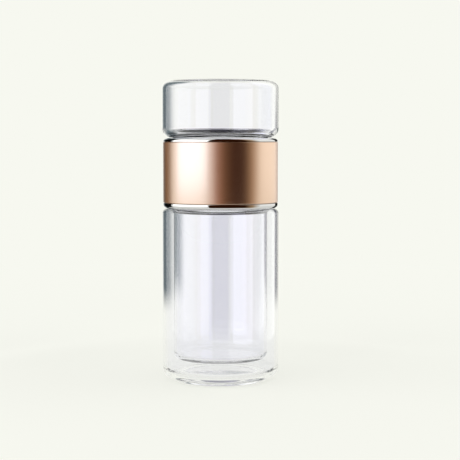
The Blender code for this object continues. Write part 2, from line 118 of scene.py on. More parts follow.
# Collar
FIT_GAP = 0.3 * MM
SLEEVE_WALL = 0.8 * MM
SLEEVE_EDGE = 0.45 * MM
TRIM_CORNER = 1.9 * MM
TRIM_FLANGE = 0.8 * MM
TRIM_REACH = 2.9 * MM
TRIM_LIP_EDGE = 0.3 * MM
INSERT_RECESS = 0.2 * MM
INSERT_EDGE = 0.12 * MM
SOCKET_CHAMFER = 0.6 * MM
SOCKET_DEPTH = 11.4 * MM
SEPTUM_THICKNESS = 2.0 * MM
SKIRT_WALL = 1.4 * MM
TONGUE_HEIGHT = 2.0 * MM
CHIMNEY_WALL = 1.4 * MM
PASSAGE_INSET = 2.95 * MM
FILTER_LEDGE = 1.1 * MM
LEDGE_DEPTH = 1.0 * MM

# Silicone seals
SEAL_EDGE = 0.18 * MM
GASKET_INSET = 1.35 * MM
CHAMBER_GASKET_LIP = 1.15 * MM
CHAMBER_GASKET_BASE = 1.1 * MM
O_RING_SECTION_RADIUS = 0.9 * MM
O_RING_LIP_WALL = 1.0 * MM
O_RING_LIP_HEIGHT = 1.5 * MM
FILTER_SEAL_FIN = 0.55 * MM
FILTER_SEAL_FIN_HEIGHT = 0.5 * MM
FIN_EDGE = 0.14 * MM

# Steel filter
FILTER_SHEET = 0.5 * MM
FILTER_BEND = 0.7 * MM
FILTER_CORNER = 1.3 * MM
FILTER_FLANGE = 3.0 * MM
FILTER_LIP = 1.6 * MM
SHEET_EDGE = 0.1 * MM
SCREEN_HOLE_RADIUS = 0.6 * MM
SCREEN_HOLE_PITCH = 2.0 * MM
SCREEN_HOLE_RINGS = 9
SCREEN_RIM = 1.2 * MM

# Studio. Azimuths are in degrees round the axis from the camera's side, positive towards the right. A
# lamp's radiance is a share of the background's
BACKGROUND = "#F7F8F0"
WHITE = "#FFFFFF"
WORLD_LIGHT = 0.75
FLOOR_RADIUS = 40.0
FLOOR_SIDES = 128
FLOOR_OWN_SHARE = 0.82
FLOOR_FADE_START = 0.15
FLOOR_FADE_END = 0.7
LOW_LAMP_HEIGHT = 0.4
MIRRORED_DEPTH = (0.4, 0.6)
CARD_DISTANCE = 0.16
CARD_STEPS = 48
CARD_EDGE = (16 * MM, 38 * MM)
CARD_TOP_FADE = 80 * MM
FRONT_CARD_HEIGHT = 1.2
SIDE_CARD_HEIGHT = 0.4
RIGHT_CARD_BENT_HEIGHT = 0.19
# The cards' shades are painted reflections: painted shade where dark, painted highlight where pale
FRONT_CARD_SHADES = ((-20.8, "#321404"), (46, "#321404"), (62, "#AC8C68"), (78, BACKGROUND))
LEFT_CARD_SHADES = (
    (-170, BACKGROUND),
    (-153, BACKGROUND),
    (-148, "#8A9498"),
    (-138, "#0C0C0C"),
    (-106, "#0C0C0C"),
)
RIGHT_CARD_SHADES = ((132, "#101010"), (152, "#101010"), (160, BACKGROUND), (169, BACKGROUND))


def low(node):
    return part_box(node)[0].z


def high(node):
    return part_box(node)[1].z


def radius_of(node):
    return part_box(node)[1].x


# Where the pieces of the frame lie
BODY_RADIUS = radius_of("bottle_outer_wall")
BOTTLE_TOP = high("bottle_outer_wall")
BOTTLE_RIM = high("bottle_inner_wall")
LINER_UNDERSIDE = low("bottle_inner_wall")
NECK_RADIUS = radius_of("chamber_gasket")
MOUTH_RADIUS = NECK_RADIUS - LINER_WALL
CREST_RADIUS = NECK_RADIUS + THREAD_DEPTH
COLLAR_FOOT = low("lower_trim_ring")
COLLAR_TOP = high("upper_trim_ring")
COLLAR_RADIUS = radius_of("collar_sleeve")
SLEEVE_BORE = COLLAR_RADIUS - SLEEVE_WALL
TRIM_BORE = COLLAR_RADIUS - TRIM_REACH
INSERT_RADIUS = SLEEVE_BORE - FIT_GAP
SOCKET_RADIUS = CREST_RADIUS + THREAD_CLEARANCE
SOCKET_CREST_RADIUS = NECK_RADIUS + THREAD_CLEARANCE
PASSAGE_RADIUS = MOUTH_RADIUS - PASSAGE_INSET
CHIMNEY_RADIUS = PASSAGE_RADIUS + CHIMNEY_WALL
LEDGE_RADIUS = PASSAGE_RADIUS + FILTER_LEDGE
LOWER_SEPTUM_TOP = COLLAR_FOOT + SOCKET_DEPTH + SEPTUM_THICKNESS
UPPER_SEPTUM_TOP = COLLAR_TOP - SOCKET_DEPTH
SPLIT_HEIGHT = (COLLAR_FOOT + COLLAR_TOP) / 2
O_RING_RADIUS = CHIMNEY_RADIUS + FIT_GAP + O_RING_SECTION_RADIUS
CHAMBER_FOOT = COLLAR_TOP + FIT_GAP
CHAMBER_TOP = high("tea_chamber_glass")
CHAMBER_RIM = low("tea_chamber_glass")
FILTER_FLANGE_RADIUS = radius_of("filter_cup")
FILTER_CUP_RADIUS = FILTER_FLANGE_RADIUS - FILTER_FLANGE
FILTER_BORE = FILTER_CUP_RADIUS - FILTER_SHEET


def arc(centre_radius, centre_height, radius, start, end, steps=CORNER_STEPS):
    """Points of a round corner in a profile, from the start angle to the end angle, in degrees."""
    angles = [math.radians(start + (end - start) * step / steps) for step in range(steps + 1)]
    return [(centre_radius + radius * math.cos(a), centre_height + radius * math.sin(a)) for a in angles]


def eased(points, edge):
    """A closed outline whose corners are broken by this much, as a moulded or tumbled edge is."""
    outline = []
    for before, corner, after in zip(points[-1:] + points[:-1], points, points[1:] + points[:1]):
        into = [corner[k] + (before[k] - corner[k]) * edge / math.dist(before, corner) for k in (0, 1)]
        out = [corner[k] + (after[k] - corner[k]) * edge / math.dist(after, corner) for k in (0, 1)]
        middle = [(into[k] + 2 * corner[k] + out[k]) / 4 for k in (0, 1)]
        outline += [tuple(into), tuple(middle), tuple(out)]
    return outline


def draw_profile(name, points):
    """Starts from a plane merged to one point and extrudes it along the profile. Leaves edit mode on."""
    bpy.ops.object.select_all(action="DESELECT")
    bpy.ops.mesh.primitive_plane_add(size=MM)
    piece = bpy.context.object
    piece.name = name
    bpy.ops.object.mode_set(mode="EDIT")
    bpy.ops.mesh.merge(type="CENTER")
    (radius, height) = points[0]
    bpy.ops.transform.translate(value=(radius, 0, height))
    for here, there in zip(points, points[1:]):
        step = (there[0] - here[0], 0, there[1] - here[1])
        bpy.ops.mesh.extrude_region_move(TRANSFORM_OT_translate={"value": step})
    return piece


def turned(name, points, closed=False):
    """A profile of (radius, height) points spun about the axis, like glass on a lathe."""
    piece = draw_profile(name, points + points[:1] if closed else points)
    bpy.ops.mesh.select_all(action="SELECT")
    bpy.ops.mesh.spin(
        steps=TURN_STEPS, angle=math.tau, center=(0, 0, 0), axis=(0, 0, 1), use_auto_merge=False
    )
    bpy.ops.mesh.select_all(action="SELECT")
    bpy.ops.mesh.remove_doubles(threshold=WELD)
    bpy.ops.mesh.normals_make_consistent(inside=False)
    bpy.ops.object.mode_set(mode="OBJECT")
    smooth(piece)
    return piece


def smooth(piece):
    bpy.ops.object.select_all(action="DESELECT")
    piece.select_set(True)
    bpy.context.view_layer.objects.active = piece
    bpy.ops.object.shade_smooth_by_angle(angle=SMOOTH_ANGLE)


def combine(piece, other, operation):
    """Joins another body to a piece, or cuts it out, and removes that body."""
    bpy.context.view_layer.objects.active = piece
    change = piece.modifiers.new(operation.lower(), "BOOLEAN")
    change.operation = operation
    change.solver = "EXACT"
    change.object = other
    bpy.ops.object.modifier_apply(modifier=change.name)
    bpy.data.objects.remove(other)
    smooth(piece)


def thread_ridge(wall_radius, crest_radius, helix_height, first_turn=0.0):
    """A right-hand ridge that fades into its wall at both ends. helix_height is its middle at turn 0."""
    side = 1 if crest_radius > wall_radius else -1
    root = wall_radius - side * THREAD_SINK
    half_root, half_crest = THREAD_ROOT_WIDTH / 2, THREAD_CREST_WIDTH / 2
    outline = [
        (root, -half_root),
        (crest_radius, -half_crest),
        (crest_radius, half_crest),
        (root, half_root),
    ]
    piece = draw_profile("ridge", outline + outline[:1])
    bpy.ops.mesh.select_all(action="SELECT")
    bpy.ops.mesh.remove_doubles(threshold=WELD)
    bpy.ops.object.mode_set(mode="OBJECT")
    helix = piece.modifiers.new("helix", "SCREW")
    helix.angle = math.tau * THREAD_TURNS
    helix.screw_offset = THREAD_PITCH * THREAD_TURNS
    helix.steps = helix.render_steps = round(TURN_STEPS * THREAD_TURNS)
    helix.use_merge_vertices = False
    bpy.ops.object.modifier_apply(modifier=helix.name)
    fade = root + side * THREAD_SINK / 2
    corners = len(outline)
    sections = len(piece.data.vertices) // corners
    for place, vertex in enumerate(piece.data.vertices):
        turn = THREAD_TURNS * (place // corners) / (sections - 1)
        growth = min(1.0, turn / THREAD_RUN_OUT_TURNS, (THREAD_TURNS - turn) / THREAD_RUN_OUT_TURNS)
        radius = math.hypot(vertex.co.x, vertex.co.y)
        if side * (radius - fade) > 0:
            faded = fade + (radius - fade) * math.sin(growth * math.pi / 2)
            vertex.co.x *= faded / radius
            vertex.co.y *= faded / radius
    bpy.ops.object.mode_set(mode="EDIT")
    bpy.ops.mesh.select_all(action="DESELECT")
    bpy.ops.mesh.select_mode(type="VERT")
    bpy.ops.mesh.select_non_manifold()
    bpy.ops.mesh.edge_face_add()
    bpy.ops.mesh.select_all(action="SELECT")
    quarter_facet = math.tau / TURN_STEPS / 4
    bpy.ops.transform.rotate(
        value=-(math.tau * first_turn + quarter_facet), orient_axis="Z", center_override=(0, 0, 0)
    )
    bpy.ops.transform.translate(value=(0, 0, helix_height + THREAD_PITCH * first_turn))
    bpy.ops.mesh.normals_make_consistent(inside=False)
    bpy.ops.object.mode_set(mode="OBJECT")
    return piece


def bottle_glass():
    """Both walls of the bottle fused at the shoulder, with the threaded neck and the melted seal tip."""
    inner_radius = BODY_RADIUS - OUTER_WALL
    foot_radius = BODY_RADIUS - FOOT_INSET
    recess_radius = foot_radius - FOOT_LAND
    floor = LINER_UNDERSIDE + LINER_FLOOR
    points = [(0, FOOT_HEIGHT - SEAL_TIP_DROP)]
    points += [(SEAL_TIP_RADIUS * 0.35, FOOT_HEIGHT - SEAL_TIP_DROP * 0.9)]
    points += [(SEAL_TIP_RADIUS * 0.7, FOOT_HEIGHT - SEAL_TIP_DROP * 0.3), (SEAL_TIP_RADIUS, FOOT_HEIGHT)]
    points += [(recess_radius - RECESS_SLOPE, FOOT_HEIGHT), (recess_radius, 0)]
    points += arc(foot_radius - FOOT_FILLET, FOOT_FILLET, FOOT_FILLET, -90, 0, SMALL_CORNER_STEPS)
    points += [(foot_radius, FOOT_HEIGHT)]
    points += arc(BODY_RADIUS - BASE_CORNER, FOOT_HEIGHT + BASE_CORNER, BASE_CORNER, -90, 0)
    points += arc(BODY_RADIUS - SHOULDER_CORNER, BOTTLE_TOP - SHOULDER_CORNER, SHOULDER_CORNER, 0, 90)
    points += arc(
        NECK_RADIUS + NECK_FILLET, BOTTLE_TOP + NECK_FILLET, NECK_FILLET, -90, -180, SMALL_CORNER_STEPS
    )
    points += arc(NECK_RADIUS - LINER_WALL / 2, BOTTLE_RIM - LINER_WALL / 2, LINER_WALL / 2, 0, 180)
    points += arc(MOUTH_RADIUS - LINER_INNER_CORNER, floor + LINER_INNER_CORNER, LINER_INNER_CORNER, 0, -90)
    points += [(0, floor)]
    piece = turned("bottle_glass", points)
    combine(piece, thread_ridge(NECK_RADIUS, CREST_RADIUS, BOTTLE_TOP + BOTTLE_THREAD_START), "UNION")

    base_top = FOOT_HEIGHT + BASE_THICKNESS
    space_top = BOTTLE_TOP - SHOULDER_WALL
    corner = SHOULDER_INNER_CORNER
    points = [(0, base_top + SEAL_BEAD_RISE), (SEAL_BEAD_RADIUS * 0.5, base_top + SEAL_BEAD_RISE * 0.8)]
    points += [(SEAL_BEAD_RADIUS, base_top)]
    points += arc(inner_radius - BASE_INNER_CORNER, base_top + BASE_INNER_CORNER, BASE_INNER_CORNER, -90, 0)
    points += arc(inner_radius - corner, space_top - corner, corner, 0, 90)
    points += arc(NECK_RADIUS + CAVITY_FILLET, space_top - CAVITY_FILLET, CAVITY_FILLET, 90, 180)
    points += arc(NECK_RADIUS - LINER_CORNER, LINER_UNDERSIDE + LINER_CORNER, LINER_CORNER, 0, -90)
    points += [(0, LINER_UNDERSIDE)]
    combine(piece, turned("bottle_air_space", points), "DIFFERENCE")
    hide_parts("bottle_outer_wall", "bottle_inner_wall", "bottle_vent_seal")
    return piece


def tea_chamber():
    """Blown cup, closed at the crown and rolled in to the threaded neck that points down."""
    inner_radius = BODY_RADIUS - OUTER_WALL
    floor_height = CHAMBER_FOOT + OUTER_WALL
    ceiling = CHAMBER_TOP - OUTER_WALL
    top_corner, foot_corner = CHAMBER_TOP_CORNER, CHAMBER_FOOT_CORNER
    floor_corner, crown_corner = CHAMBER_FLOOR_CORNER, CHAMBER_CROWN_CORNER
    mouth_corner = CHAMBER_MOUTH_CORNER
    points = [(0, CHAMBER_TOP)]
    points += arc(BODY_RADIUS - top_corner, CHAMBER_TOP - top_corner, top_corner, 90, 0)
    points += arc(BODY_RADIUS - foot_corner, CHAMBER_FOOT + foot_corner, foot_corner, 0, -90)
    points += arc(
        NECK_RADIUS + NECK_FILLET, CHAMBER_FOOT - NECK_FILLET, NECK_FILLET, 90, 180, SMALL_CORNER_STEPS
    )
    points += arc(NECK_RADIUS - LINER_WALL / 2, CHAMBER_RIM + LINER_WALL / 2, LINER_WALL / 2, 0, -180)
    points += arc(MOUTH_RADIUS + mouth_corner, floor_height - mouth_corner, mouth_corner, 180, 90)
    points += arc(inner_radius - floor_corner, floor_height + floor_corner, floor_corner, -90, 0)
    points += arc(inner_radius - crown_corner, ceiling - crown_corner, crown_corner, 0, 90)
    points += [(0, ceiling)]
    piece = turned("tea_chamber_cup", points)
    combine(piece, thread_ridge(NECK_RADIUS, CREST_RADIUS, CHAMBER_RIM + CHAMBER_THREAD_START), "UNION")
    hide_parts("tea_chamber_glass")
    return piece


def collar_sleeve():
    """Turned tube with broken edges."""
    top, bottom = high("collar_sleeve"), low("collar_sleeve")
    edge = SLEEVE_EDGE
    points = [(SLEEVE_BORE, top)]
    points += arc(COLLAR_RADIUS - edge, top - edge, edge, 90, 0, SMALL_CORNER_STEPS)
    points += arc(COLLAR_RADIUS - edge, bottom + edge, edge, 0, -90, SMALL_CORNER_STEPS)
    points += [(SLEEVE_BORE, bottom)]
    piece = turned("rose_gold_sleeve", points, closed=True)
    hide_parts("collar_sleeve")
    return piece


def trim_ring(node, outer_end, inner_end):
    """Polished ring whose corner rolls over the end of the collar. The ends are heights."""
    away = 1 if inner_end > outer_end else -1
    edge = TRIM_LIP_EDGE
    points = [(SLEEVE_BORE, inner_end)]
    points += arc(COLLAR_RADIUS - edge, inner_end - away * edge, edge, away * 90, 0, SMALL_CORNER_STEPS)
    corner = outer_end + away * TRIM_CORNER
    points += arc(COLLAR_RADIUS - TRIM_CORNER, corner, TRIM_CORNER, 0, -away * 90, CORNER_STEPS * 2)
    flange = outer_end + away * TRIM_FLANGE
    points += [(TRIM_BORE, outer_end), (TRIM_BORE, flange), (SLEEVE_BORE, flange)]
    piece = turned("polished_" + node, points, closed=True)
    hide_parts(node)
    return piece


def flank_offset():
    """How far a ridge's middle lies from the middle of the ridge that it bears on."""
    slope = (THREAD_ROOT_WIDTH - THREAD_CREST_WIDTH) / 2 / (THREAD_DEPTH + THREAD_SINK)
    span = SOCKET_RADIUS - NECK_RADIUS + 2 * THREAD_SINK
    return THREAD_ROOT_WIDTH - slope * span + FLANK_GAP


def lower_socket():
    """Moulded socket for the bottle's neck, with the septum that seats the O-ring."""
    foot = COLLAR_FOOT + INSERT_RECESS
    tongue_radius = INSERT_RADIUS - SKIRT_WALL - FIT_GAP
    tongue_bore = tongue_radius - SKIRT_WALL
    tongue_top = SPLIT_HEIGHT - FIT_GAP / 2 + TONGUE_HEIGHT
    lip_bore = O_RING_RADIUS + O_RING_SECTION_RADIUS + FIT_GAP
    lip_radius = lip_bore + O_RING_LIP_WALL
    lip_top = LOWER_SEPTUM_TOP + O_RING_LIP_HEIGHT
    flange_stop = COLLAR_FOOT + TRIM_FLANGE + FIT_GAP
    points = [
        (tongue_radius, tongue_top),
        (tongue_radius, SPLIT_HEIGHT - FIT_GAP / 2),
        (INSERT_RADIUS, SPLIT_HEIGHT - FIT_GAP / 2),
        (INSERT_RADIUS, flange_stop),
        (TRIM_BORE - FIT_GAP, flange_stop),
        (TRIM_BORE - FIT_GAP, foot),
        (SOCKET_RADIUS + SOCKET_CHAMFER, foot),
        (SOCKET_RADIUS, foot + SOCKET_CHAMFER),
        (SOCKET_RADIUS, COLLAR_FOOT + SOCKET_DEPTH),
        (PASSAGE_RADIUS, COLLAR_FOOT + SOCKET_DEPTH),
        (PASSAGE_RADIUS, LOWER_SEPTUM_TOP),
        (lip_bore, LOWER_SEPTUM_TOP),
        (lip_bore, lip_top),
        (lip_radius, lip_top),
        (lip_radius, LOWER_SEPTUM_TOP),
        (tongue_bore, LOWER_SEPTUM_TOP),
        (tongue_bore, tongue_top),
    ]
    piece = turned("lower_socket", eased(points, INSERT_EDGE), closed=True)
    helix = BOTTLE_TOP + BOTTLE_THREAD_START - flank_offset()
    first = (COLLAR_FOOT + SOCKET_THREAD_START - helix) / THREAD_PITCH
    combine(piece, thread_ridge(SOCKET_RADIUS, SOCKET_CREST_RADIUS, helix, first), "UNION")
    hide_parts("lower_thread_insert")
    return piece


def upper_socket():
    """Moulded socket for the chamber's neck, with the ledge that holds the filter and the chimney below."""
    skirt_bore = INSERT_RADIUS - SKIRT_WALL
    top = COLLAR_TOP - INSERT_RECESS
    flange_stop = COLLAR_TOP - TRIM_FLANGE - FIT_GAP
    septum_underside = UPPER_SEPTUM_TOP - SEPTUM_THICKNESS
    points = [
        (TRIM_BORE - FIT_GAP, top),
        (TRIM_BORE - FIT_GAP, flange_stop),
        (INSERT_RADIUS, flange_stop),
        (INSERT_RADIUS, SPLIT_HEIGHT + FIT_GAP / 2),
        (skirt_bore, SPLIT_HEIGHT + FIT_GAP / 2),
        (skirt_bore, septum_underside),
        (CHIMNEY_RADIUS, septum_underside),
        (CHIMNEY_RADIUS, LOWER_SEPTUM_TOP + FIT_GAP),
        (PASSAGE_RADIUS, LOWER_SEPTUM_TOP + FIT_GAP),
        (PASSAGE_RADIUS, UPPER_SEPTUM_TOP - LEDGE_DEPTH),
        (LEDGE_RADIUS, UPPER_SEPTUM_TOP - LEDGE_DEPTH),
        (LEDGE_RADIUS, UPPER_SEPTUM_TOP),
        (SOCKET_RADIUS, UPPER_SEPTUM_TOP),
        (SOCKET_RADIUS, top - SOCKET_CHAMFER),
        (SOCKET_RADIUS + SOCKET_CHAMFER, top),
    ]
    piece = turned("upper_socket", eased(points, INSERT_EDGE), closed=True)
    helix = CHAMBER_RIM + CHAMBER_THREAD_START + flank_offset()
    last = (top - SOCKET_THREAD_START - helix) / THREAD_PITCH
    ridge = thread_ridge(SOCKET_RADIUS, SOCKET_CREST_RADIUS, helix, last - THREAD_TURNS)
    combine(piece, ridge, "UNION")
    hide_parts("upper_thread_insert")
    return piece


def o_ring():
    middle = LOWER_SEPTUM_TOP + FIT_GAP + O_RING_SECTION_RADIUS
    points = arc(O_RING_RADIUS, middle, O_RING_SECTION_RADIUS, 0, 360, O_RING_STEPS)[:-1]
    piece = turned("o_ring", points, closed=True)
    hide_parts("insert_o_ring")
    return piece


def bottle_washer():
    """Flat washer at the end of the lower socket."""
    inner, outer = MOUTH_RADIUS - GASKET_INSET, SOCKET_RADIUS - FIT_GAP
    bottom, top = low("bottle_gasket"), high("bottle_gasket")
    points = [(inner, top), (outer, top), (outer, bottom), (inner, bottom)]
    piece = turned("bottle_washer", eased(points, SEAL_EDGE), closed=True)
    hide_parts("bottle_gasket")
    return piece


def chamber_seal():
    """L-shaped seal whose lip plugs into the chamber's mouth."""
    bottom, top = low("chamber_gasket"), high("chamber_gasket")
    lip_radius = MOUTH_RADIUS - FIT_GAP
    inner = lip_radius - CHAMBER_GASKET_LIP
    seat = bottom + CHAMBER_GASKET_BASE
    points = [
        (inner, top),
        (lip_radius, top),
        (lip_radius, seat),
        (NECK_RADIUS, seat),
        (NECK_RADIUS, bottom),
        (inner, bottom),
    ]
    piece = turned("chamber_seal", eased(points, SEAL_EDGE), closed=True)
    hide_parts("chamber_gasket")
    return piece


def filter_ring():
    """Finned ring round the cup, under its flange."""
    bottom, top = low("filter_seal"), high("filter_seal")
    inner = FILTER_CUP_RADIUS + FIT_GAP
    fin = radius_of("filter_seal")
    waist = fin - FILTER_SEAL_FIN
    points = [
        (inner, top),
        (fin, top),
        (fin, top - FILTER_SEAL_FIN_HEIGHT),
        (waist, top - FILTER_SEAL_FIN_HEIGHT),
        (waist, bottom + FILTER_SEAL_FIN_HEIGHT),
        (fin, bottom + FILTER_SEAL_FIN_HEIGHT),
        (fin, bottom),
        (inner, bottom),
    ]
    piece = turned("filter_ring", eased(points, FIN_EDGE), closed=True)
    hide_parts("filter_seal")
    return piece


def drawn_cup():
    """Deep-drawn cup with bent corners, a flange round its top and a lip round its open bottom."""
    bottom, top = low("filter_cup"), high("filter_cup")
    flange = top - FILTER_SHEET
    bend, corner = flange - FILTER_BEND, bottom + FILTER_CORNER
    lip = FILTER_BORE - FILTER_LIP
    edge = FILTER_SHEET / 2
    points = arc(FILTER_FLANGE_RADIUS - edge, flange + edge, edge, 90, -90, SMALL_CORNER_STEPS)
    points += arc(FILTER_CUP_RADIUS + FILTER_BEND, bend, FILTER_BEND, 90, 180)
    points += arc(FILTER_CUP_RADIUS - FILTER_CORNER, corner, FILTER_CORNER, 0, -90)
    points += arc(lip + edge, bottom + edge, edge, -90, -270, SMALL_CORNER_STEPS)
    points += arc(FILTER_CUP_RADIUS - FILTER_CORNER, corner, FILTER_CORNER - FILTER_SHEET, -90, 0)
    points += arc(FILTER_CUP_RADIUS + FILTER_BEND, bend, FILTER_BEND + FILTER_SHEET, 180, 90)
    piece = turned("drawn_cup", points, closed=True)
    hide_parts("filter_cup")
    return piece


def etched_screen():
    """Thin disc, etched with a hexagonal pattern of small round holes."""
    bottom, top = low("filter_screen"), high("filter_screen")
    radius = radius_of("filter_screen")
    points = [(0, top), (radius - SHEET_EDGE, top), (radius, top - SHEET_EDGE)]
    points += [(radius, bottom + SHEET_EDGE), (radius - SHEET_EDGE, bottom), (0, bottom)]
    piece = turned("etched_screen", points)
    reach = radius - SCREEN_RIM - SCREEN_HOLE_RADIUS
    bpy.ops.object.select_all(action="DESELECT")
    bpy.ops.mesh.primitive_cylinder_add(
        vertices=SCREEN_HOLE_SIDES,
        radius=SCREEN_HOLE_RADIUS,
        depth=2 * (top - bottom),
        location=(0, 0, (top + bottom) / 2),
    )
    first = bpy.context.object
    bpy.ops.object.transform_apply()
    punches = [first]
    for row in range(-SCREEN_HOLE_RINGS, SCREEN_HOLE_RINGS + 1):
        for column in range(-SCREEN_HOLE_RINGS, SCREEN_HOLE_RINGS + 1):
            x = SCREEN_HOLE_PITCH * (column + row / 2)
            y = SCREEN_HOLE_PITCH * row * math.sqrt(3) / 2
            if (row or column) and math.hypot(x, y) < reach:
                punch = bpy.data.objects.new("punch", first.data.copy())
                punch.location = (x, y, 0)
                bpy.context.scene.collection.objects.link(punch)
                punches.append(punch)
    for punch in punches:
        punch.select_set(True)
    bpy.context.view_layer.objects.active = first
    bpy.context.view_layer.update()
    bpy.ops.object.join()
    combine(piece, first, "DIFFERENCE")
    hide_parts("filter_screen")
    return piece


def linear(channel):
    return channel / 12.92 if channel <= 0.04045 else ((channel + 0.055) / 1.055) ** 2.4


def colour(code):
    """A hex sRGB colour as linear RGBA."""
    channels = [int(code[place : place + 2], 16) / 255 for place in (1, 3, 5)]
    return (*map(linear, channels), 1.0)


def add_node(tree, kind, inputs=None, **settings):
    """Adds a node with its settings. inputs gives a value, or the socket to link, for each input."""
    made = tree.nodes.new(kind)
    for name, value in settings.items():
        setattr(made, name, value)
    for name, value in (inputs or {}).items():
        if isinstance(value, bpy.types.NodeSocket):
            tree.links.new(value, made.inputs[name])
        else:
            made.inputs[name].default_value = value
    return made


def material(name):
    """An empty node material: itself, its tree and its output node."""
    made = bpy.data.materials.new(name)
    made.use_nodes = True
    made.node_tree.nodes.clear()
    return made, made.node_tree, made.node_tree.nodes.new("ShaderNodeOutputMaterial")


def round_the_axis(tree):
    """Radius and height of a point, so that a pattern on them runs in rings, as lathe and buff marks do."""
    place = add_node(tree, "ShaderNodeTexCoord")
    parts = add_node(tree, "ShaderNodeSeparateXYZ", {0: place.outputs["Object"]})
    across = add_node(tree, "ShaderNodeCombineXYZ", {"X": parts.outputs["X"], "Y": parts.outputs["Y"]})
    radius = add_node(tree, "ShaderNodeVectorMath", {0: across.outputs[0]}, operation="LENGTH")
    rings = add_node(
        tree, "ShaderNodeCombineXYZ", {"X": radius.outputs["Value"], "Y": parts.outputs["Z"]}
    )
    return rings.outputs[0]


def borosilicate_glass():
    """Clear glass drawn as tube and worked in a flame: the eye sees faint long waves in what it bends."""
    made, tree, output = material("borosilicate glass")
    place = add_node(tree, "ShaderNodeTexCoord")
    along = add_node(
        tree,
        "ShaderNodeMapping",
        {"Vector": place.outputs["Object"], "Scale": (1 / (9 * MM), 1 / (9 * MM), 1 / (60 * MM))},
    )
    waves = add_node(
        tree, "ShaderNodeTexNoise", {"Vector": along.outputs["Vector"], "Scale": 1.0, "Detail": 1.0}
    )
    relief = add_node(
        tree, "ShaderNodeBump", {"Height": waves.outputs["Fac"], "Strength": 0.25, "Distance": 0.02 * MM}
    )
    glass = add_node(
        tree,
        "ShaderNodeBsdfPrincipled",
        {
            "Base Color": colour("#FCFCFF"),
            "Roughness": 0.0,
            "IOR": 1.474,
            "Transmission Weight": 1.0,
            "Normal": relief.outputs["Normal"],
        },
    )
    tree.links.new(glass.outputs["BSDF"], output.inputs["Surface"])
    return made


def rose_gold_anodised_aluminium():
    """Bead-blasted, then anodised rose gold: the fine grain spreads each reflection into a soft satin. The
    grain is drawn about three times as coarse as real beads leave it, so that it shows."""
    made, tree, output = material("rose gold anodised aluminium")
    place = add_node(tree, "ShaderNodeTexCoord")
    grain = add_node(
        tree,
        "ShaderNodeTexNoise",
        {"Vector": place.outputs["Object"], "Scale": 1 / (0.25 * MM), "Detail": 2.0},
    )
    roughness = add_node(
        tree, "ShaderNodeMapRange", {"Value": grain.outputs["Fac"], "To Min": 0.29, "To Max": 0.34}
    )
    relief = add_node(
        tree, "ShaderNodeBump", {"Height": grain.outputs["Fac"], "Strength": 0.08, "Distance": 0.01 * MM}
    )
    metal = add_node(
        tree,
        "ShaderNodeBsdfPrincipled",
        {
            "Base Color": colour("#EDCFBA"),
            "Metallic": 1.0,
            "Roughness": roughness.outputs["Result"],
            "Normal": relief.outputs["Normal"],
        },
    )
    tree.links.new(metal.outputs["BSDF"], output.inputs["Surface"])
    return made


def polished_steel():
    """Stainless steel buffed on a wheel: close to a mirror, with faint buffing rings in its gloss."""
    made, tree, output = material("polished stainless steel")
    rings = add_node(
        tree, "ShaderNodeMapping", {"Vector": round_the_axis(tree), "Scale": [1 / (0.15 * MM)] * 3}
    )
    buffing = add_node(tree, "ShaderNodeTexNoise", {"Vector": rings.outputs["Vector"], "Scale": 1.0})
    roughness = add_node(
        tree, "ShaderNodeMapRange", {"Value": buffing.outputs["Fac"], "To Min": 0.03, "To Max": 0.08}
    )
    metal = add_node(
        tree,
        "ShaderNodeBsdfPrincipled",
        {"Base Color": colour("#D6D6D8"), "Metallic": 1.0, "Roughness": roughness.outputs["Result"]},
    )
    tree.links.new(metal.outputs["BSDF"], output.inputs["Surface"])
    return made


def satin_steel():
    """Stainless sheet drawn and brushed: fine rings run round the axis and stretch the highlights."""
    made, tree, output = material("satin stainless steel")
    rings = add_node(
        tree, "ShaderNodeMapping", {"Vector": round_the_axis(tree), "Scale": [1 / (0.08 * MM)] * 3}
    )
    brushing = add_node(
        tree, "ShaderNodeTexNoise", {"Vector": rings.outputs["Vector"], "Scale": 1.0, "Detail": 3.0}
    )
    shade = add_node(
        tree,
        "ShaderNodeMix",
        {"Factor": brushing.outputs["Fac"], "A": colour("#9C9C9E"), "B": colour("#B4B4B6")},
        data_type="RGBA",
    )
    roughness = add_node(
        tree, "ShaderNodeMapRange", {"Value": brushing.outputs["Fac"], "To Min": 0.2, "To Max": 0.36}
    )
    relief = add_node(
        tree, "ShaderNodeBump", {"Height": brushing.outputs["Fac"], "Strength": 0.2, "Distance": 0.01 * MM}
    )
    metal = add_node(
        tree,
        "ShaderNodeBsdfPrincipled",
        {
            "Base Color": shade.outputs["Result"],
            "Metallic": 1.0,
            "Roughness": roughness.outputs["Result"],
            "Normal": relief.outputs["Normal"],
        },
    )
    tree.links.new(metal.outputs["BSDF"], output.inputs["Surface"])
    return made


def moulded_polypropylene():
    """Black polypropylene from a spark-eroded mould: a fine even texture, and flow clouds just lighter."""
    made, tree, output = material("moulded polypropylene")
    place = add_node(tree, "ShaderNodeTexCoord")
    texture = add_node(
        tree,
        "ShaderNodeTexNoise",
        {"Vector": place.outputs["Object"], "Scale": 1 / (0.35 * MM), "Detail": 2.0},
    )
    cloud = add_node(
        tree, "ShaderNodeTexNoise", {"Vector": place.outputs["Object"], "Scale": 1 / (14 * MM)}
    )
    shade = add_node(
        tree,
        "ShaderNodeMix",
        {"Factor": cloud.outputs["Fac"], "A": colour("#1C1C1E"), "B": colour("#262628")},
        data_type="RGBA",
    )
    relief = add_node(
        tree, "ShaderNodeBump", {"Height": texture.outputs["Fac"], "Strength": 0.25, "Distance": 0.02 * MM}
    )
    plastic = add_node(
        tree,
        "ShaderNodeBsdfPrincipled",
        {
            "Base Color": shade.outputs["Result"],
            "Roughness": 0.42,
            "IOR": 1.49,
            "Normal": relief.outputs["Normal"],
        },
    )
    tree.links.new(plastic.outputs["BSDF"], output.inputs["Surface"])
    return made


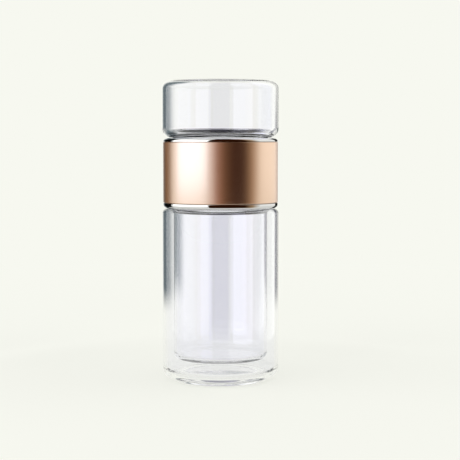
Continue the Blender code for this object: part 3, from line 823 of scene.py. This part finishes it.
def black_silicone():
    """Black silicone rubber: its dull, slightly greasy skin takes only a broad, weak sheen."""
    made, tree, output = material("black silicone rubber")
    place = add_node(tree, "ShaderNodeTexCoord")
    skin = add_node(
        tree,
        "ShaderNodeTexNoise",
        {"Vector": place.outputs["Object"], "Scale": 1 / (1.2 * MM), "Detail": 3.0},
    )
    roughness = add_node(
        tree, "ShaderNodeMapRange", {"Value": skin.outputs["Fac"], "To Min": 0.3, "To Max": 0.5}
    )
    relief = add_node(
        tree, "ShaderNodeBump", {"Height": skin.outputs["Fac"], "Strength": 0.15, "Distance": 0.02 * MM}
    )
    rubber = add_node(
        tree,
        "ShaderNodeBsdfPrincipled",
        {
            "Base Color": colour("#171717"),
            "Roughness": roughness.outputs["Result"],
            "IOR": 1.41,
            "Normal": relief.outputs["Normal"],
        },
    )
    tree.links.new(rubber.outputs["BSDF"], output.inputs["Surface"])
    return made


def dress(piece, body, surface):
    """Gives a piece its material and the body that it moves with."""
    piece.data.materials.clear()
    piece.data.materials.append(surface)
    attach(piece, body)


def camera():
    """The photograph's camera, in front of the axis and tipped down a little."""
    data = bpy.data.cameras.new("camera")
    data.sensor_width = SENSOR_WIDTH_MM
    data.lens = SENSOR_WIDTH_MM * FOCAL_LENGTH_PX / FRAME_WIDTH_PX
    data.clip_start = 10 * MM
    made = bpy.data.objects.new("camera", data)
    tip = math.atan((FRAME_MIDDLE_PX - EYE_LEVEL_PX) / FOCAL_LENGTH_PX)
    aside = (FRAME_MIDDLE_PX - AXIS_COLUMN_PX) / FOCAL_LENGTH_PX * CAMERA_DISTANCE
    made.location = (aside, -CAMERA_DISTANCE, EYE_HEIGHT)
    made.rotation_euler = (math.radians(90) - tip, 0, 0)
    bpy.context.scene.collection.objects.link(made)
    bpy.context.scene.camera = made


def seen_background(tree):
    """1 where a camera ray, a reflection or a refraction looks, and 0 where light is gathered."""
    path = add_node(tree, "ShaderNodeLightPath")
    direct = add_node(
        tree,
        "ShaderNodeMath",
        {0: path.outputs["Is Camera Ray"], 1: path.outputs["Is Glossy Ray"]},
        operation="MAXIMUM",
    )
    seen = add_node(
        tree,
        "ShaderNodeMath",
        {0: direct.outputs["Value"], 1: path.outputs["Is Transmission Ray"]},
        operation="MAXIMUM",
    )
    return seen.outputs["Value"]


def world():
    """Even light from all round, with the pale background behind it."""
    made = bpy.data.worlds.new("studio")
    bpy.context.scene.world = made
    made.use_nodes = True
    tree = made.node_tree
    tree.nodes.clear()
    output = tree.nodes.new("ShaderNodeOutputWorld")
    gathered = add_node(tree, "ShaderNodeBackground", {"Color": (1, 1, 1, 1), "Strength": WORLD_LIGHT})
    seen = add_node(tree, "ShaderNodeBackground", {"Color": colour(BACKGROUND), "Strength": 1.0})
    mixed = add_node(
        tree, "ShaderNodeMixShader", {0: seen_background(tree), 1: gathered.outputs[0], 2: seen.outputs[0]}
    )
    tree.links.new(mixed.outputs[0], output.inputs["Surface"])


def floor():
    """Pale floor. Part of its colour is its own glow, more so further off, so that no line shows behind."""
    bpy.ops.object.select_all(action="DESELECT")
    bpy.ops.mesh.primitive_circle_add(vertices=FLOOR_SIDES, radius=FLOOR_RADIUS, fill_type="NGON")
    made = bpy.context.object
    made.name = "floor"
    surface, tree, output = material("pale floor")
    lit = add_node(tree, "ShaderNodeBsdfDiffuse", {"Color": colour(BACKGROUND)})
    glow = add_node(tree, "ShaderNodeEmission", {"Color": colour(BACKGROUND), "Strength": 1.0})
    place = add_node(tree, "ShaderNodeTexCoord")
    distance = add_node(tree, "ShaderNodeVectorMath", {0: place.outputs["Object"]}, operation="LENGTH")
    fade = add_node(
        tree,
        "ShaderNodeMapRange",
        {
            "Value": distance.outputs["Value"],
            "From Min": FLOOR_FADE_START,
            "From Max": FLOOR_FADE_END,
            "To Min": FLOOR_OWN_SHARE,
            "To Max": 1.0,
        },
        interpolation_type="SMOOTHSTEP",
    )
    share = add_node(
        tree, "ShaderNodeMath", {0: seen_background(tree), 1: fade.outputs["Result"]}, operation="MULTIPLY"
    )
    mixed = add_node(
        tree, "ShaderNodeMixShader", {0: share.outputs["Value"], 1: lit.outputs[0], 2: glow.outputs[0]}
    )
    tree.links.new(mixed.outputs[0], output.inputs["Surface"])
    made.data.materials.append(surface)


def softbox(
    name, lit_pieces=None, *, azimuth, distance, width, radiance, height=LOW_LAMP_HEIGHT, tint=WHITE
):
    """A soft lamp that stands on the floor and faces the axis. With lit_pieces it lights those alone, and
    shows in them as a highlight. Without them it lights everything and shows in no reflection."""
    data = bpy.data.lights.new(name, "AREA")
    data.use_nodes = True
    data.color = colour(tint)[:3]
    data.shape = "RECTANGLE"
    data.size = width
    data.size_y = height
    data.energy = radiance * math.pi * width * height
    made = bpy.data.objects.new(name, data)
    angle = math.radians(azimuth)
    made.location = (distance * math.sin(angle), -distance * math.cos(angle), height / 2)
    made.rotation_euler = (math.radians(90), 0, angle)
    made.visible_camera = False
    if lit_pieces:
        receivers = bpy.data.collections.new(name + " pieces")
        for piece in lit_pieces:
            receivers.objects.link(piece)
        made.light_linking.receiver_collection = receivers
    else:
        made.visible_glossy = False
        made.visible_transmission = False
    bpy.context.scene.collection.objects.link(made)
    return data


def ramp(tree, value, start, end):
    """0 at the start value and 1 at the end value, with a soft step between them."""
    limits = {"Value": value, "From Min": start, "From Max": end}
    return add_node(tree, "ShaderNodeMapRange", limits, interpolation_type="SMOOTHSTEP").outputs["Result"]


def times(tree, one, other):
    return add_node(tree, "ShaderNodeMath", {0: one, 1: other}, operation="MULTIPLY").outputs["Value"]


def mirrored(tree, path):
    """1 on a ray that some surface has mirrored on its way, and 0 on the others."""
    return ramp(tree, path.outputs["Glossy Depth"], *MIRRORED_DEPTH)


def glass_light(name, lit_pieces, **lamp):
    """A softbox that shows as a highlight on the glass and in it, but not through it."""
    tree = softbox(name, lit_pieces, **lamp).node_tree
    path = add_node(tree, "ShaderNodeLightPath")
    tree.links.new(mirrored(tree, path), tree.nodes["Emission"].inputs["Strength"])


def card_sheet(name, start, end, height):
    """A sheet that stands on the floor and curves round the set, from one azimuth to the other."""
    bpy.ops.object.select_all(action="DESELECT")
    bpy.ops.mesh.primitive_plane_add(size=MM)
    made = bpy.context.object
    made.name = name
    bpy.ops.object.mode_set(mode="EDIT")
    bpy.ops.mesh.merge(type="CENTER")
    angle = math.radians(start)
    foot = (CARD_DISTANCE * math.sin(angle), -CARD_DISTANCE * math.cos(angle), 0)
    bpy.ops.transform.translate(value=foot)
    bpy.ops.mesh.extrude_region_move(TRANSFORM_OT_translate={"value": (0, 0, height)})
    bpy.ops.mesh.select_all(action="SELECT")
    bpy.ops.mesh.spin(steps=CARD_STEPS, angle=math.radians(end - start), center=(0, 0, 0), axis=(0, 0, -1))
    bpy.ops.object.mode_set(mode="OBJECT")
    return made


def shade_across(tree, azimuth, shades):
    """The shade that a card has at an azimuth, between the (azimuth, colour) pairs of a list."""
    first, last = shades[0][0], shades[-1][0]
    along = add_node(
        tree,
        "ShaderNodeMapRange",
        {"Value": azimuth, "From Min": math.radians(first), "From Max": math.radians(last)},
    )
    made = add_node(tree, "ShaderNodeValToRGB", {"Fac": along.outputs["Result"]})
    stops = made.color_ramp.elements
    for at, _ in shades[1:-1]:
        stops.new((at - first) / (last - first))
    for stop, (_, code) in zip(stops, shades):
        stop.color = colour(code)
    return made.outputs["Color"]


def card(name, height, shades, seen_through=None, clear=None, full=None, bent_height=None):
    """A curved card round part of the set, clear but for what it does to the glass and the metal: no lamp,
    but a glow of painted reflections. It shows its shades, a list of (azimuth, colour) pairs, in what they
    mirror, the dark ones as painted shade and the pale ones as painted highlight. seen_through is its shade
    in what the glass bends, a painted shade, which comes in softly from the azimuth where the card is clear
    to the one where it is full, and fades out up to the bent height. A card without it shows in all that
    the glass mirrors inside as well."""
    made = card_sheet(name, shades[0][0], shades[-1][0], height)
    surface, tree, output = material(name)
    path = add_node(tree, "ShaderNodeLightPath")
    place = add_node(tree, "ShaderNodeTexCoord")
    parts = add_node(tree, "ShaderNodeSeparateXYZ", {0: place.outputs["Object"]})
    forward = times(tree, parts.outputs["Y"], -1.0)
    azimuth = add_node(
        tree, "ShaderNodeMath", {0: parts.outputs["X"], 1: forward}, operation="ARCTAN2"
    ).outputs["Value"]
    # Painted reflection: the card glows with its shades in what the metal and the glass mirror
    dark = add_node(
        tree, "ShaderNodeEmission", {"Color": shade_across(tree, azimuth, shades), "Strength": 1.0}
    )
    nothing = add_node(tree, "ShaderNodeBsdfTransparent")
    if seen_through:
        sideways = ramp(tree, azimuth, math.radians(clear), math.radians(full))
        upwards = ramp(tree, parts.outputs["Z"], *CARD_EDGE)
        downwards = ramp(tree, parts.outputs["Z"], bent_height, bent_height - CARD_TOP_FADE)
        patch = times(tree, times(tree, sideways, upwards), downwards)
        there = times(tree, patch, path.outputs["Is Transmission Ray"])
        # Painted shade, seen through the glass where the card's patch lies
        bent = add_node(tree, "ShaderNodeEmission", {"Color": colour(seen_through), "Strength": 1.0})
        seen = add_node(tree, "ShaderNodeMixShader", {0: there, 1: nothing.outputs[0], 2: bent.outputs[0]})
        in_mirror = times(tree, path.outputs["Is Reflection Ray"], upwards)
    else:
        seen = nothing
        in_mirror = mirrored(tree, path)
    mixed = add_node(tree, "ShaderNodeMixShader", {0: in_mirror, 1: seen.outputs[0], 2: dark.outputs[0]})
    tree.links.new(mixed.outputs[0], output.inputs["Surface"])
    made.data.materials.append(surface)
    made.visible_shadow = False


camera()
glass = borosilicate_glass()
rose_gold = rose_gold_anodised_aluminium()
polished = polished_steel()
satin = satin_steel()
plastic = moulded_polypropylene()
silicone = black_silicone()

bottle = bottle_glass()
chamber = tea_chamber()
dress(bottle, "bottle", glass)
dress(chamber, "tea_chamber", glass)
sleeve = collar_sleeve()
lower_trim = trim_ring("lower_trim_ring", low("lower_trim_ring"), high("lower_trim_ring"))
upper_trim = trim_ring("upper_trim_ring", high("upper_trim_ring"), low("upper_trim_ring"))
dress(sleeve, "collar", rose_gold)
dress(lower_trim, "collar", polished)
dress(upper_trim, "collar", polished)
dress(lower_socket(), "collar", plastic)
dress(upper_socket(), "collar", plastic)
dress(o_ring(), "collar", silicone)
dress(bottle_washer(), "bottle_gasket", silicone)
dress(chamber_seal(), "chamber_gasket", silicone)
dress(drawn_cup(), "filter", satin)
dress(etched_screen(), "filter", satin)
dress(filter_ring(), "filter", silicone)

world()
floor()
trims = (lower_trim, upper_trim)
glasses = (bottle, chamber)
softbox("left softbox", azimuth=-70, distance=1.0, width=1.9, height=1.3, radiance=1.1)
softbox("right softbox", azimuth=106, distance=1.1, width=1.6, height=1.3, radiance=0.9)
softbox("left trim light", trims, azimuth=-67, distance=0.9, width=1.6, height=1.2, radiance=1.3)
softbox(
    "left sleeve light",
    (sleeve,),
    azimuth=-60,
    distance=0.8,
    width=1.1,
    height=1.2,
    radiance=1.45,
    tint="#BCDAFF",
)
softbox(
    "right collar light", (sleeve, *trims), azimuth=106, distance=1.05, width=1.5, height=1.2, radiance=0.2
)
softbox(
    "pale edge of the sleeve light", (sleeve,), azimuth=-15, distance=0.135, width=0.022, radiance=0.6
)
softbox(
    "warm edge of the sleeve light",
    (sleeve,),
    azimuth=-6,
    distance=0.14,
    width=0.05,
    radiance=0.2,
    tint="#FFA870",
)
softbox(
    "warm front light", (sleeve,), azimuth=6, distance=0.13, width=0.055, radiance=0.05, tint="#FFCB69"
)
softbox(
    "warm rim light", (sleeve,), azimuth=-120, distance=0.14, width=0.07, radiance=0.2, tint="#FFB860"
)
softbox("pale rim light", (sleeve,), azimuth=139, distance=0.14, width=0.05, radiance=0.7)
glass_light("left glass light", glasses, azimuth=-63.5, distance=0.15, width=0.275, radiance=0.35)
glass_light(
    "front glass light", glasses, azimuth=42, distance=0.14, width=0.096, radiance=1.5, tint="#E6E6FF"
)
glass_light(
    "cool glass light", glasses, azimuth=-2, distance=0.15, width=0.103, radiance=0.35, tint="#B4B4FF"
)
glass_light(
    "left chamber light", (chamber,), azimuth=-42, distance=0.15, width=0.1, radiance=0.2, tint="#8C8CFF"
)
glass_light(
    "right chamber light", (chamber,), azimuth=88, distance=0.155, width=0.14, radiance=0.4, tint="#8C8CFF"
)
glass_light("right glass light", glasses, azimuth=97, distance=0.15, width=0.21, radiance=0.35)
# Cards that glow with painted reflections, and side cards with a painted shade seen through the glass
card("front card", FRONT_CARD_HEIGHT, FRONT_CARD_SHADES)
card(
    "left card",
    SIDE_CARD_HEIGHT,
    LEFT_CARD_SHADES,
    seen_through="#727E82",
    clear=-166.5,
    full=-153,
    bent_height=SIDE_CARD_HEIGHT,
)
card(
    "right card",
    SIDE_CARD_HEIGHT,
    RIGHT_CARD_SHADES,
    seen_through="#8C8C96",
    clear=148,
    full=145,
    bent_height=RIGHT_CARD_BENT_HEIGHT,
)

scene = bpy.context.scene
scene.view_settings.view_transform = "Standard"
# Enough bounces for the light that runs along inside the glass walls, which goes black too early otherwise
scene.cycles.max_bounces = 36
scene.cycles.transmission_bounces = 36
scene.cycles.glossy_bounces = 28
scene.cycles.transparent_max_bounces = 16
